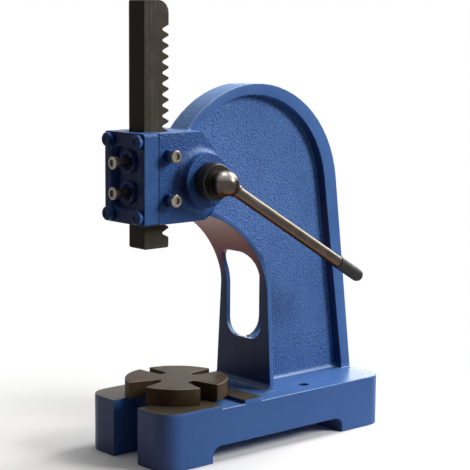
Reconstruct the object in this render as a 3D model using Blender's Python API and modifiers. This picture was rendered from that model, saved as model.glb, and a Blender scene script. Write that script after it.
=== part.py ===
"""Bench arbor press: cast frame, square rack ram, pinion with lever, turning anvil plate.

Metres, +Z up, the lever side faces +X and the operator's side faces -Y.
Every piece is placed from the axis of the anvil plate, and the empty that carries them all
moves the press so that the middle of its bounding box stands over the origin.
"""

import math

import bmesh
import bpy
from mathutils import Matrix, Vector

# Clearances and cutter overrun
SEAT_GAP = 0.0003
RUNNING_GAP = 0.0001
OVERRUN = 0.002
WELD_DISTANCE = 0.00001
EDGE_ANGLE = math.radians(40)

# Base casting
BASE_WIDTH = 0.1366
BASE_HEIGHT = 0.0564
BASE_CORNER_RADIUS = 0.023
BASE_FRONT_REACH = 0.0685
BASE_BACK_REACH = 0.2525
LAND_RISE = 0.0043
FRONT_LAND_LENGTH = 0.0755
LAND_BREAK_LENGTH = 0.031
REAR_LAND_LENGTH = 0.025
SLOT_WIDTH = 0.040
SLOT_REACH = 0.0405
FRONT_FOOT_LENGTH = 0.0625
REAR_FOOT_LENGTH = 0.068
TUNNEL_HEIGHT = 0.017
TUNNEL_CORNER_RADIUS = 0.010
MOUNT_HOLE_DIAMETER = 0.012
MOUNT_HOLE_SPACING = 0.088
MOUNT_HOLE_BACK = 0.146

# Column and throat
COLUMN_WIDTH = 0.030
WEB_THICKNESS = 0.008
WEB_FILLET = 0.004
CROWN_CENTRE_BACK = 0.0985
CROWN_CENTRE_HEIGHT = 0.2645
CROWN_RADIUS = 0.1245
FOOT_BACK = 0.2505
PANEL_CENTRE_BACK = 0.0935
PANEL_CENTRE_HEIGHT = 0.266
PANEL_RADIUS = 0.111
PANEL_FOOT_BACK = 0.2365
THROAT_CENTRE_BACK = -0.015
THROAT_CENTRE_HEIGHT = 0.145
THROAT_RADIUS = 0.114
THROAT_BLEND_RADIUS = 0.060
THROAT_START = math.radians(84)
WEB_START = math.radians(76)
THROAT_HANDOVER = math.radians(20.7)
THROAT_WALL_THICKNESS = 0.006
THROAT_WALL_FOOT_WIDTH = 0.090
THROAT_FOOT_FILLET = 0.009
WINDOW_WIDTH = 0.056
WINDOW_HEIGHT = 0.098
WINDOW_SILL_RISE = 0.053
WINDOW_CORNER_RADIUS = 0.018
WEB_OPENING_LENGTH = 0.0205
WEB_OPENING_CORNER_RADIUS = 0.020

# Head
HEAD_WIDTH = 0.066
HEAD_BOTTOM = 0.250
HEAD_HEIGHT = 0.0934
HEAD_TOP_BACK = 0.0065
HEAD_BOTTOM_BACK = 0.011
PARTING_REACH = 0.0502

# Pinion housing
BOSS_RADIUS = 0.0285
BOSS_FILLET = 0.008
BOSS_HEIGHT = 0.014
HOUSING_RADIUS = 0.037

# Ram and rack
RAM_WIDTH = 0.0254
RAM_DEPTH = 0.032
RAM_LENGTH = 0.254
RAM_FRONT_REACH = 0.0532
RAM_REST_HEIGHT = 0.2225
RAM_TOP_RADIUS = 0.013
RAM_CHAMFER = 0.0015
RACK_BOTTOM_MARGIN = 0.010
RACK_TOP_MARGIN = 0.0155
GEAR_MODULE = 0.0035
PRESSURE_ANGLE = math.radians(25)
BACKLASH = 0.0006
ADDENDUM_SHARE = 1.0
DEDENDUM_SHARE = 1.25

# Pinion
PINION_TEETH = 16
PINION_HEIGHT = 0.293
PINION_WIDTH = 0.024
CENTRE_CLEARANCE = 0.0002
CAVITY_CLEARANCE = 0.001
SHAFT_RADIUS = 0.0125
SPIGOT_RADIUS = 0.007
SPIGOT_LENGTH = 0.0135

# Bearing flange on the far side
FLANGE_RADIUS = 0.0425
FLANGE_THICKNESS = 0.008
FLANGE_EDGE = 0.001
FLANGE_SCREW_RADIUS = 0.0025
FLANGE_SCREW_HEAD_RADIUS = 0.0044
FLANGE_SCREW_HEAD_HEIGHT = 0.005
FLANGE_SCREW_LENGTH = 0.018
FLANGE_SCREW_COUNT = 3

# Hub, lever and grip
COLLAR_RADIUS = 0.0193
COLLAR_LENGTH = 0.015
COLLAR_EDGE = 0.0015
COLLAR_RING_RADIUS = 0.0158
COLLAR_RING_HEIGHT = 0.0015
HUB_BALL_RADIUS = 0.0135
HUB_BALL_SETOUT = 0.0095
GRUB_SCREW_RADIUS = 0.003
GRUB_SCREW_LENGTH = 0.0052
GRUB_SCREW_SINK = 0.001
LEVER_DROP = math.radians(30.7)
LEVER_REACH = 0.2325
LEVER_RADIUS = 0.00635
LEVER_RING_RADIUS = 0.0076
LEVER_RING_LENGTH = 0.003
LEVER_SOCKET_START = 0.008
GRIP_LENGTH = 0.042
GRIP_RADIUS = 0.0071
GRIP_SPIGOT_RADIUS = 0.0045
GRIP_WALL = 0.012

# Front cap and gibs
CAP_THICKNESS = 0.0187
CAP_CORNER_RADIUS = 0.0035
CAP_POCKET_DEPTH = 0.0065
CAP_POCKET_WIDTH = 0.044
CAP_POCKET_END = 0.0145
CAP_POCKET_CORNER_RADIUS = 0.008
CAP_BOSS_RADIUS = 0.0125
CAP_BOSS_HEIGHT = 0.0035
CAP_BOSS_BORE_RADIUS = 0.0085
CAP_BOSS_BORE_DEPTH = 0.0045
CAP_SCREW_EDGE = 0.0085
CAP_SCREW_HEAD_RADIUS = 0.0072
CAP_SCREW_HEAD_HEIGHT = 0.0055
CAP_SCREW_SOCKET_RADIUS = 0.0034
CAP_SCREW_SOCKET_DEPTH = 0.0008
CAP_SCREW_RADIUS = 0.003
CAP_SCREW_GRIP = 0.014
GIB_THICKNESS = 0.005
GIB_END_SETBACK = 0.002
GIB_SCREW_RADIUS = 0.004
GIB_SCREW_SPREAD = 0.031
GIB_SCREW_MID_HEIGHT = 0.2975
GIB_SCREW_SETOUT = 0.0104
SIDE_SCREW_SPREAD = 0.045
SIDE_SCREW_MID_HEIGHT = 0.2975
SIDE_SCREW_REACH = 0.0377
SIDE_SCREW_SETOUT = 0.0078
GIB_SCREW_HEAD_RADIUS = 0.0066
GIB_SCREW_HEAD_HEIGHT = 0.0058
GIB_SCREW_SOCKET_RADIUS = 0.0036
GIB_SCREW_SOCKET_DEPTH = 0.0024
LOCK_NUT_ACROSS_FLATS = 0.013
LOCK_NUT_HEIGHT = 0.0065
LOCK_NUT_CHAMFER = 0.0008

# Anvil plate and its pivot
PLATE_RADIUS = 0.0548
PLATE_THICKNESS = 0.0178
PLATE_EDGE = 0.001
PLATE_SLOT_TIP = 0.0215
PLATE_SLOT_END_RADIUS = 0.0055
PLATE_SLOT_MOUTHS = (0.027, 0.023, 0.017, 0.013)
PIVOT_RADIUS = 0.008
PIVOT_IN_BASE = 0.020
PIVOT_IN_PLATE = 0.010
PIVOT_EDGE = 0.001

# Facet counts
ROUND_STEPS = 48
SMALL_ROUND_STEPS = 24
QUARTER_STEPS = 5
THROAT_STEPS = 14
CROWN_STEPS = 24
FLANK_STEPS = 4
RIM_STEPS = 9

# Sizes that follow from the ones above
LAND_TOP = BASE_HEIGHT + LAND_RISE
ROOT_HEIGHT = BASE_HEIGHT / 2
HALF_COLUMN = COLUMN_WIDTH / 2
HALF_WEB = WEB_THICKNESS / 2
HALF_HEAD = HEAD_WIDTH / 2
HEAD_TOP = HEAD_BOTTOM + HEAD_HEIGHT
BLEND_OFFSET = THROAT_RADIUS - THROAT_BLEND_RADIUS
BLEND_CENTRE = (THROAT_CENTRE_BACK + BLEND_OFFSET * math.cos(THROAT_HANDOVER),
                THROAT_CENTRE_HEIGHT + BLEND_OFFSET * math.sin(THROAT_HANDOVER))
THROAT_FACE = BLEND_CENTRE[0] + THROAT_BLEND_RADIUS
WALL_BACK = THROAT_FACE + THROAT_WALL_THICKNESS
WALL_SPREAD = (THROAT_WALL_FOOT_WIDTH - HEAD_WIDTH) / 2 / (HEAD_BOTTOM - BASE_HEIGHT)
CAP_FRONT = -PARTING_REACH - CAP_THICKNESS
CAP_BACK = -PARTING_REACH - SEAT_GAP
ADDENDUM = GEAR_MODULE * ADDENDUM_SHARE
DEDENDUM = GEAR_MODULE * DEDENDUM_SHARE
PITCH = math.pi * GEAR_MODULE
PITCH_RADIUS = PINION_TEETH * GEAR_MODULE / 2
HALF_TOOTH = (PITCH - BACKLASH) / 4
RAM_FRONT = -RAM_FRONT_REACH
RAM_MIDDLE = RAM_FRONT + RAM_DEPTH / 2
RACK_TIP = RAM_FRONT + RAM_DEPTH
PINION_BACK = RACK_TIP - ADDENDUM + PITCH_RADIUS + CENTRE_CLEARANCE
CAVITY_RADIUS = PITCH_RADIUS + ADDENDUM + CAVITY_CLEARANCE
CAVITY_HALF_WIDTH = PINION_WIDTH / 2 + CAVITY_CLEARANCE
SHAFT_BORE_RADIUS = SHAFT_RADIUS + RUNNING_GAP
BOSS_FACE = HALF_HEAD + BOSS_HEIGHT
COLLAR_START = BOSS_FACE + SEAT_GAP
COLLAR_END = COLLAR_START + COLLAR_LENGTH
HUB_BALL_START = COLLAR_END + COLLAR_RING_HEIGHT + SEAT_GAP
LEVER_PLANE = HUB_BALL_START + HUB_BALL_SETOUT
FRONT_GIB_BACK = RAM_FRONT - SEAT_GAP
FRONT_GIB_FRONT = FRONT_GIB_BACK - GIB_THICKNESS
SIDE_GIB_START = RAM_WIDTH / 2 + SEAT_GAP
SIDE_GIB_END = SIDE_GIB_START + GIB_THICKNESS
FRONT_SCREW_HEAD_START = CAP_FRONT - GIB_SCREW_SETOUT
FRONT_SCREW_END = FRONT_SCREW_HEAD_START - GIB_SCREW_HEAD_HEIGHT
PLATE_BOTTOM = LAND_TOP + SEAT_GAP
PLATE_TOP = PLATE_BOTTOM + PLATE_THICKNESS
LEFT_EDGE = -BASE_WIDTH / 2
RIGHT_EDGE = LEVER_PLANE + HUB_BALL_RADIUS

BLUE_PAINT = (0.055, 0.12, 0.35, 1)
DARK_BLUE_PAINT = (0.02, 0.045, 0.15, 1)
RAM_STEEL = (0.07, 0.06, 0.055, 1)
PLATE_STEEL = (0.10, 0.09, 0.085, 1)
BRIGHT_STEEL = (0.55, 0.53, 0.50, 1)
BLACK_FINISH = (0.012, 0.012, 0.012, 1)
RUBBER = (0.02, 0.02, 0.02, 1)

# Turns a flat outline so that it is drawn in the YZ, XZ or XY plane and runs along X, Y or Z
AXIS_FRAMES = {
    "x": Matrix(((0, 0, 1), (1, 0, 0), (0, 1, 0))).to_4x4(),
    "y": Matrix(((1, 0, 0), (0, 0, -1), (0, 1, 0))).to_4x4(),
    "z": Matrix.Identity(4),
}
AXIS_DIRECTIONS = {"x": Vector((1, 0, 0)), "y": Vector((0, 1, 0)), "z": Vector((0, 0, 1))}

# Turns a piece that is round about Z until it is round about the named line
AXIS_TURNS = {
    "x": (0, math.pi / 2, 0),
    "y": (-math.pi / 2, 0, 0),
    "z": (0, 0, 0),
    "lever": (-math.pi / 2 - LEVER_DROP, 0, 0),
}


# Scene, collections and materials

def clear_scene():
    """Take every object out of the scene."""
    for obj in list(bpy.data.objects):
        bpy.data.objects.remove(obj)


def new_collection(name):
    """Make a collection in the scene."""
    collection = bpy.data.collections.new(name)
    bpy.context.scene.collection.children.link(collection)
    return collection


def empty(name, collection, location, parent=None):
    """Make an empty that carries other pieces."""
    obj = bpy.data.objects.new(name, None)
    obj.location = location
    obj.parent = parent
    collection.objects.link(obj)
    return obj


def finish_material(name, colour, roughness, metallic):
    """A Principled material of one colour."""
    material = bpy.data.materials.new(name)
    material.use_nodes = True
    shader = material.node_tree.nodes["Principled BSDF"]
    shader.inputs["Base Color"].default_value = colour
    shader.inputs["Roughness"].default_value = roughness
    shader.inputs["Metallic"].default_value = metallic
    return material


class Workshop:
    """The two collections and the empties that pieces hang from."""

    def __init__(self):
        self.parts = new_collection("arbor_press")
        self.cutters = new_collection("cutters")
        shift = ((-LEFT_EDGE - RIGHT_EDGE) / 2, (-FRONT_SCREW_END - BASE_BACK_REACH) / 2, 0)
        self.press = empty("press", self.parts, shift)
        pinion_place = (0, PINION_BACK, PINION_HEIGHT)
        self.pinion_axis = empty("pinion_axis", self.parts, pinion_place, self.press)

    def add(self, name, mesh, parent=None, cutter=False):
        """Put a mesh in the scene as a part, or as a shape that cuts or joins one."""
        obj = bpy.data.objects.new(name, mesh)
        obj.parent = parent or self.press
        if cutter:
            self.cutters.objects.link(obj)
            obj.hide_render = True
            obj.display_type = "WIRE"
        else:
            self.parts.objects.link(obj)
        return obj


# Outlines, as lists of flat points

def arc(centre, radius, start, end, steps):
    """Points along an arc, both ends included."""
    points = []
    for step in range(steps + 1):
        angle = start + (end - start) * step / steps
        points.append((centre[0] + radius * math.cos(angle), centre[1] + radius * math.sin(angle)))
    return points


def circle(centre, radius, steps):
    """Points round a whole circle."""
    return arc(centre, radius, 0, math.tau * (steps - 1) / steps, steps - 1)


def rounded_rectangle(low, high, radius):
    """A rectangle with round corners, from its low and high corners."""
    quarter = math.pi / 2
    centres = ((high[0] - radius, high[1] - radius), (low[0] + radius, high[1] - radius),
               (low[0] + radius, low[1] + radius), (high[0] - radius, low[1] + radius))
    points = []
    for index, centre in enumerate(centres):
        points += arc(centre, radius, quarter * index, quarter * (index + 1), QUARTER_STEPS)
    return points


# Solids

def prism_mesh(name, outline, length, axis):
    """Extrude a flat outline along an axis, its middle at the origin."""
    curve = bpy.data.curves.new(name, "CURVE")
    curve.dimensions = "2D"
    curve.fill_mode = "BOTH"
    curve.extrude = length / 2
    spline = curve.splines.new("POLY")
    spline.points.add(len(outline) - 1)
    for point, (across, along) in zip(spline.points, outline):
        point.co = (across, along, 0, 1)
    spline.use_cyclic_u = True
    holder = bpy.data.objects.new(name, curve)
    bpy.context.scene.collection.objects.link(holder)
    graph = bpy.context.evaluated_depsgraph_get()
    mesh = bpy.data.meshes.new_from_object(holder.evaluated_get(graph))
    bpy.data.objects.remove(holder)
    bpy.data.curves.remove(curve)
    weld(mesh)
    mesh.transform(AXIS_FRAMES[axis])
    mesh.name = name
    return mesh


def weld(mesh):
    """Join the caps of a filled curve to its walls."""
    body = bmesh.new()
    body.from_mesh(mesh)
    bmesh.ops.remove_doubles(body, verts=body.verts, dist=WELD_DISTANCE)
    bmesh.ops.recalc_face_normals(body, faces=body.faces)
    body.to_mesh(mesh)
    body.free()


def prism(shop, name, outline, start, end, axis, parent=None, cutter=False):
    """A prism between two places along an axis."""
    mesh = prism_mesh(name, outline, end - start, axis)
    obj = shop.add(name, mesh, parent, cutter)
    obj.location = AXIS_DIRECTIONS[axis] * ((start + end) / 2)
    return obj


def block(shop, name, low, high, parent=None, cutter=False):
    """A box between two corners."""
    body = bmesh.new()
    bmesh.ops.create_cube(body, size=1)
    size = [upper - lower for lower, upper in zip(low, high)]
    bmesh.ops.scale(body, vec=size, verts=body.verts)
    mesh = bpy.data.meshes.new(name)
    body.to_mesh(mesh)
    body.free()
    obj = shop.add(name, mesh, parent, cutter)
    obj.location = [(lower + upper) / 2 for lower, upper in zip(low, high)]
    return obj


def turned(shop, name, profile, axis, place, parent=None, cutter=False, steps=ROUND_STEPS):
    """Turn a profile of (radius, height) points, top to bottom, about an axis through a place."""
    mesh = bpy.data.meshes.new(name)
    points = [(radius, 0, height) for radius, height in profile]
    mesh.from_pydata(points, [(i, i + 1) for i in range(len(points) - 1)], [])
    obj = shop.add(name, mesh, parent, cutter)
    screw = obj.modifiers.new("turn", "SCREW")
    screw.steps = steps
    screw.render_steps = steps
    screw.use_merge_vertices = True
    screw.merge_threshold = WELD_DISTANCE
    screw.use_smooth_shade = False
    obj.rotation_euler = AXIS_TURNS[axis]
    obj.location = place
    return obj


def rod(shop, name, radius, start, end, axis, place, parent=None, cutter=False,
        steps=ROUND_STEPS):
    """A cylinder along an axis between two places on it.

    A cutter is turned by a quarter facet, so that its corners miss the spokes of turned faces.
    """
    body = bmesh.new()
    bmesh.ops.create_cone(body, cap_ends=True, segments=steps, radius1=radius, radius2=radius,
                          depth=end - start)
    if cutter:
        quarter_facet = Matrix.Rotation(math.tau / steps / 4, 3, "Z")
        bmesh.ops.rotate(body, cent=(0, 0, 0), matrix=quarter_facet, verts=body.verts)
    bmesh.ops.translate(body, verts=body.verts, vec=(0, 0, (start + end) / 2))
    mesh = bpy.data.meshes.new(name)
    body.to_mesh(mesh)
    body.free()
    obj = shop.add(name, mesh, parent, cutter)
    obj.rotation_euler = AXIS_TURNS[axis]
    obj.location = place
    return obj


def cut(target, cutter):
    """Take a shape out of a piece."""
    modifier = target.modifiers.new("cut_" + cutter.name, "BOOLEAN")
    modifier.operation = "DIFFERENCE"
    modifier.solver = "EXACT"
    modifier.object = cutter


def join(target, shape):
    """Grow a shape onto a piece."""
    modifier = target.modifiers.new("join_" + shape.name, "BOOLEAN")
    modifier.operation = "UNION"
    modifier.solver = "EXACT"
    modifier.object = shape


def keep(target, shape):
    """Keep only what a piece has in common with a shape."""
    modifier = target.modifiers.new("keep_" + shape.name, "BOOLEAN")
    modifier.operation = "INTERSECT"
    modifier.solver = "EXACT"
    modifier.object = shape


def bevel(obj, width):
    """Break a piece's sharp edges."""
    modifier = obj.modifiers.new("edges", "BEVEL")
    modifier.width = width
    modifier.segments = 1
    modifier.limit_method = "ANGLE"
    modifier.angle_limit = EDGE_ANGLE


def paint(obj, colour, roughness, metallic):
    """Give a part its own material."""
    obj.data.materials.clear()
    obj.data.materials.append(finish_material(obj.name, colour, roughness, metallic))


# Frame casting

def tangent_angle(place, centre, radius, turn):
    """Where on a circle the line from a place outside touches it, on the side of the turn."""
    across = place[0] - centre[0]
    along = place[1] - centre[1]
    opening = math.acos(radius / math.hypot(across, along))
    return math.atan2(along, across) + turn * opening


def throat_points(depth, start=THROAT_START):
    """The throat's curve from the head down to the foot, at a depth inside the casting."""
    centre = (THROAT_CENTRE_BACK, THROAT_CENTRE_HEIGHT)
    points = arc(centre, THROAT_RADIUS + depth, start, THROAT_HANDOVER, THROAT_STEPS)
    points += arc(BLEND_CENTRE, THROAT_BLEND_RADIUS + depth, THROAT_HANDOVER, 0,
                  QUARTER_STEPS)[1:]
    return points


def back_curve(centre, radius, foot_back, end):
    """A crown arc with the straight line that leaves it for the foot, from the root up."""
    foot = (foot_back, BASE_HEIGHT)
    start = tangent_angle(foot, centre, radius, 1)
    return [(foot_back, ROOT_HEIGHT), foot] + arc(centre, radius, start, end, CROWN_STEPS)


def web_outline():
    """The column's web from the side: from the throat wall back to the rim, into the base."""
    centre = (PANEL_CENTRE_BACK, PANEL_CENTRE_HEIGHT)
    radius = PANEL_RADIUS + OVERRUN
    end = math.pi - math.acos((PANEL_CENTRE_BACK - PINION_BACK) / radius)
    middle = THROAT_WALL_THICKNESS / 2
    points = throat_points(middle, WEB_START)
    points += [(THROAT_FACE + middle, ROOT_HEIGHT)]
    return points + back_curve(centre, radius, PANEL_FOOT_BACK + OVERRUN, end)


def rim_outline():
    """The rim from the side: up the column's back and round the crown into the head."""
    crown = (CROWN_CENTRE_BACK, CROWN_CENTRE_HEIGHT)
    end = math.pi - math.asin((HEAD_TOP - OVERRUN - crown[1]) / CROWN_RADIUS)
    panel = (PANEL_CENTRE_BACK, PANEL_CENTRE_HEIGHT)
    inner_end = math.pi - math.acos((PANEL_CENTRE_BACK - PINION_BACK) / PANEL_RADIUS)
    inner = back_curve(panel, PANEL_RADIUS, PANEL_FOOT_BACK, inner_end)
    return back_curve(crown, CROWN_RADIUS, FOOT_BACK, end) + inner[::-1]


def wall_outline():
    """The throat wall from the side, with the fillet at its foot."""
    fillet = (THROAT_FACE - THROAT_FOOT_FILLET, BASE_HEIGHT + THROAT_FOOT_FILLET)
    points = throat_points(0)
    points += arc(fillet, THROAT_FOOT_FILLET, 0, -math.pi / 2, QUARTER_STEPS)
    points += [(fillet[0], ROOT_HEIGHT), (WALL_BACK, ROOT_HEIGHT)]
    return points + throat_points(THROAT_WALL_THICKNESS)[::-1]


def build_throat_wall(shop):
    """The wall round the throat, as wide as the head above and wider at its foot."""
    half = THROAT_WALL_FOOT_WIDTH / 2 + OVERRUN
    wall = prism(shop, "throat_wall", wall_outline(), -half, half, "x", cutter=True)
    high = HEAD_BOTTOM + THROAT_WALL_THICKNESS * 2
    narrow = HALF_HEAD + WALL_SPREAD * (HEAD_BOTTOM - high)
    wide = HALF_HEAD + WALL_SPREAD * (HEAD_BOTTOM - ROOT_HEIGHT)
    taper = [(narrow, high), (wide, ROOT_HEIGHT), (-wide, ROOT_HEIGHT), (-narrow, high)]
    keep(wall, prism(shop, "wall_taper", taper, -PARTING_REACH, WALL_BACK + OVERRUN, "y",
                     cutter=True))
    return wall


def head_outline():
    """The head from the side: square in front, round about the pinion at the back."""
    axis = (PINION_BACK, PINION_HEIGHT)
    low = (HEAD_BOTTOM_BACK, HEAD_BOTTOM)
    high = (HEAD_TOP_BACK, HEAD_TOP)
    start = tangent_angle(low, axis, HOUSING_RADIUS, 1)
    end = tangent_angle(high, axis, HOUSING_RADIUS, -1)
    points = [(-PARTING_REACH, HEAD_TOP), (-PARTING_REACH, HEAD_BOTTOM), low]
    return points + arc(axis, HOUSING_RADIUS, start, end, 2 * QUARTER_STEPS) + [high]


def boss_profile(face, height):
    """The pinion boss with its cast fillet, from its face down into the head."""
    foot = face - height
    ring = arc((BOSS_RADIUS + BOSS_FILLET, foot + BOSS_FILLET), BOSS_FILLET,
               math.pi, 3 * math.pi / 2, QUARTER_STEPS)
    wide = BOSS_RADIUS + BOSS_FILLET
    return [(0, face), (BOSS_RADIUS, face)] + ring + [(wide, foot - OVERRUN), (0, foot - OVERRUN)]


def web_fillet(shop, side):
    """The cast fillet between the column's web and the base."""
    centre = (HALF_WEB + WEB_FILLET, BASE_HEIGHT + WEB_FILLET)
    curve = arc(centre, WEB_FILLET, math.pi, 3 * math.pi / 2, QUARTER_STEPS)
    root = BASE_HEIGHT - OVERRUN
    outline = [(0, root), (0, centre[1])] + curve + [(centre[0], root)]
    outline = [(side * across, up) for across, up in outline]
    return prism(shop, "web_fillet", outline, THROAT_FACE, PANEL_FOOT_BACK, "y", cutter=True)


def base_outline():
    """The base seen from above."""
    half = BASE_WIDTH / 2
    return rounded_rectangle((-half, -BASE_FRONT_REACH), (half, BASE_BACK_REACH),
                             BASE_CORNER_RADIUS)


def slot_outline():
    """The slot that opens at the front of the base, round at its inner end."""
    half = SLOT_WIDTH / 2
    mouth = -BASE_FRONT_REACH - OVERRUN
    end = arc((0, -SLOT_REACH), half, 0, math.pi, 2 * QUARTER_STEPS)
    return [(half, mouth)] + end + [(-half, mouth)]


def tunnel_outline():
    """The relief under the base, between the front and the back foot."""
    front = -BASE_FRONT_REACH + FRONT_FOOT_LENGTH
    back = BASE_BACK_REACH - REAR_FOOT_LENGTH
    low = TUNNEL_HEIGHT - TUNNEL_CORNER_RADIUS
    points = [(front, -OVERRUN)]
    points += arc((front + TUNNEL_CORNER_RADIUS, low), TUNNEL_CORNER_RADIUS,
                  math.pi, math.pi / 2, QUARTER_STEPS)
    points += arc((back - TUNNEL_CORNER_RADIUS, low), TUNNEL_CORNER_RADIUS,
                  math.pi / 2, 0, QUARTER_STEPS)
    return points + [(back, -OVERRUN)]


def cut_base(shop, frame):
    """The base's lands, slot, tunnel and holes."""
    wide = BASE_WIDTH / 2 + OVERRUN
    high = LAND_TOP + OVERRUN
    break_start = -BASE_FRONT_REACH + FRONT_LAND_LENGTH
    rear_land = break_start + LAND_BREAK_LENGTH
    painted_start = rear_land + REAR_LAND_LENGTH
    cut(frame, block(shop, "land_break", (-wide, break_start, BASE_HEIGHT),
                     (wide, rear_land, high), cutter=True))
    cut(frame, block(shop, "painted_top", (-wide, painted_start, BASE_HEIGHT),
                     (wide, BASE_BACK_REACH + OVERRUN, high), cutter=True))
    cut(frame, prism(shop, "front_slot", slot_outline(), -OVERRUN, high, "z", cutter=True))
    cut(frame, prism(shop, "foot_tunnel", tunnel_outline(), -wide, wide, "x", cutter=True))
    cut(frame, rod(shop, "pivot_hole", PIVOT_RADIUS + RUNNING_GAP,
                   LAND_TOP - PIVOT_IN_BASE - SEAT_GAP, high, "z", (0, 0, 0), cutter=True,
                   steps=SMALL_ROUND_STEPS))
    for side in (-1, 1):
        place = (side * MOUNT_HOLE_SPACING / 2, MOUNT_HOLE_BACK, 0)
        cut(frame, rod(shop, "mount_hole", MOUNT_HOLE_DIAMETER / 2, TUNNEL_HEIGHT - OVERRUN, high,
                       "z", place, cutter=True, steps=SMALL_ROUND_STEPS))


def cut_window(shop, frame):
    """The window in the throat wall, and the opening behind it in the web."""
    sill = BASE_HEIGHT + WINDOW_SILL_RISE
    head = sill + WINDOW_HEIGHT
    half = WINDOW_WIDTH / 2
    window = rounded_rectangle((-half, sill), (half, head), WINDOW_CORNER_RADIUS)
    cut(frame, prism(shop, "window", window, THROAT_CENTRE_BACK, WALL_BACK + OVERRUN, "y",
                     cutter=True))
    deep = WALL_BACK + WEB_OPENING_LENGTH
    opening = rounded_rectangle((BLEND_CENTRE[0], sill), (deep, head),
                                WEB_OPENING_CORNER_RADIUS)
    cut(frame, prism(shop, "web_opening", opening, -HALF_WEB - OVERRUN, HALF_WEB + OVERRUN, "x",
                     cutter=True))


def cut_head(shop, frame):
    """The ram's channel, the pinion's cavity and bore, and the screws' holes."""
    bottom = HEAD_BOTTOM - OVERRUN
    top = HEAD_TOP + OVERRUN
    pinion_place = (0, PINION_BACK, PINION_HEIGHT)
    far_wall = -RAM_WIDTH / 2 - SEAT_GAP
    near_wall = SIDE_GIB_END + SEAT_GAP
    cut(frame, block(shop, "ram_channel", (far_wall, -PARTING_REACH - OVERRUN, bottom),
                     (near_wall, RACK_TIP + SEAT_GAP, top), cutter=True))
    cut(frame, rod(shop, "pinion_cavity", CAVITY_RADIUS, -HALF_HEAD - OVERRUN,
                   CAVITY_HALF_WIDTH, "x", pinion_place, cutter=True))
    cut(frame, rod(shop, "shaft_bore", SHAFT_BORE_RADIUS, 0, BOSS_FACE + OVERRUN, "x",
                   pinion_place, cutter=True))
    for place in side_screw_places():
        cut(frame, rod(shop, "side_screw_hole", GIB_SCREW_RADIUS + SEAT_GAP, near_wall - OVERRUN,
                       HALF_HEAD + OVERRUN, "x", place, cutter=True, steps=SMALL_ROUND_STEPS))
    for place in cap_screw_places():
        cut(frame, rod(shop, "cap_screw_hole", CAP_SCREW_RADIUS + SEAT_GAP,
                       -PARTING_REACH - OVERRUN, -PARTING_REACH + CAP_SCREW_GRIP + SEAT_GAP, "y",
                       place, cutter=True, steps=SMALL_ROUND_STEPS))
    for place in flange_screw_places():
        cut(frame, rod(shop, "flange_screw_hole", FLANGE_SCREW_RADIUS + SEAT_GAP,
                       -HALF_HEAD - OVERRUN,
                       -HALF_HEAD - FLANGE_THICKNESS + FLANGE_SCREW_LENGTH, "x", place,
                       cutter=True, steps=SMALL_ROUND_STEPS))


def build_frame(shop):
    """The one casting that is base, column and head."""
    frame = prism(shop, "frame_casting", base_outline(), 0, LAND_TOP, "z")
    pinion_place = (0, PINION_BACK, PINION_HEIGHT)
    cut_base(shop, frame)
    join(frame, prism(shop, "web", web_outline(), -HALF_WEB, HALF_WEB, "x", cutter=True))
    join(frame, prism(shop, "rim", rim_outline(), -HALF_COLUMN, HALF_COLUMN, "x", cutter=True))
    join(frame, build_throat_wall(shop))
    for side in (-1, 1):
        join(frame, web_fillet(shop, side))
    cut_window(shop, frame)
    join(frame, prism(shop, "head", head_outline(), -HALF_HEAD, HALF_HEAD, "x", cutter=True))
    join(frame, rod(shop, "far_housing", FLANGE_RADIUS, -HALF_HEAD + SEAT_GAP, 0, "x",
                    pinion_place, cutter=True))
    join(frame, turned(shop, "pinion_boss", boss_profile(BOSS_FACE, BOSS_HEIGHT), "x",
                       pinion_place, cutter=True))
    cut_head(shop, frame)
    paint(frame, BLUE_PAINT, 0.45, 0)


# Places of the fasteners

def side_screw_places():
    """Where the side gib's screws go through the head."""
    return [(0, -SIDE_SCREW_REACH, SIDE_SCREW_MID_HEIGHT + step * SIDE_SCREW_SPREAD / 2)
            for step in (1, -1)]


def front_screw_places():
    """Where the front gib's screws go through the cap."""
    return [(0, 0, GIB_SCREW_MID_HEIGHT + step * GIB_SCREW_SPREAD / 2) for step in (1, -1)]


def cap_screw_places():
    """The cap's four corner screws."""
    across = HALF_HEAD - CAP_SCREW_EDGE
    heights = (HEAD_TOP - CAP_SCREW_EDGE, HEAD_BOTTOM + CAP_SCREW_EDGE)
    return [(side * across, 0, height) for height in heights for side in (-1, 1)]


def flange_screw_places():
    """The bearing flange's screws, evenly round the pinion's axis."""
    ring = (CAVITY_RADIUS + FLANGE_RADIUS) / 2
    places = []
    for index in range(FLANGE_SCREW_COUNT):
        angle = math.tau * (index + 0.5) / FLANGE_SCREW_COUNT
        places.append((0, PINION_BACK + ring * math.cos(angle),
                       PINION_HEIGHT + ring * math.sin(angle)))
    return places


# Fasteners

def socket_screw(shop, name, sizes, seat, tip, axis, place):
    """A socket head screw along an axis, its head on the far side of its seat from its tip."""
    radius, head_radius, head_height, socket_radius, socket_depth = sizes
    facing = math.copysign(1, seat - tip)
    top = seat + facing * head_height
    edge = facing * (head_height - socket_depth) / 4
    floor = top - facing * socket_depth
    profile = [(0, tip), (radius, tip), (radius, seat), (head_radius, seat),
               (head_radius, top - edge), (head_radius - abs(edge), top),
               (socket_radius, top), (socket_radius, floor), (0, floor)]
    if facing > 0:
        profile.reverse()
    return turned(shop, name, profile, axis, place, steps=SMALL_ROUND_STEPS)


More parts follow.
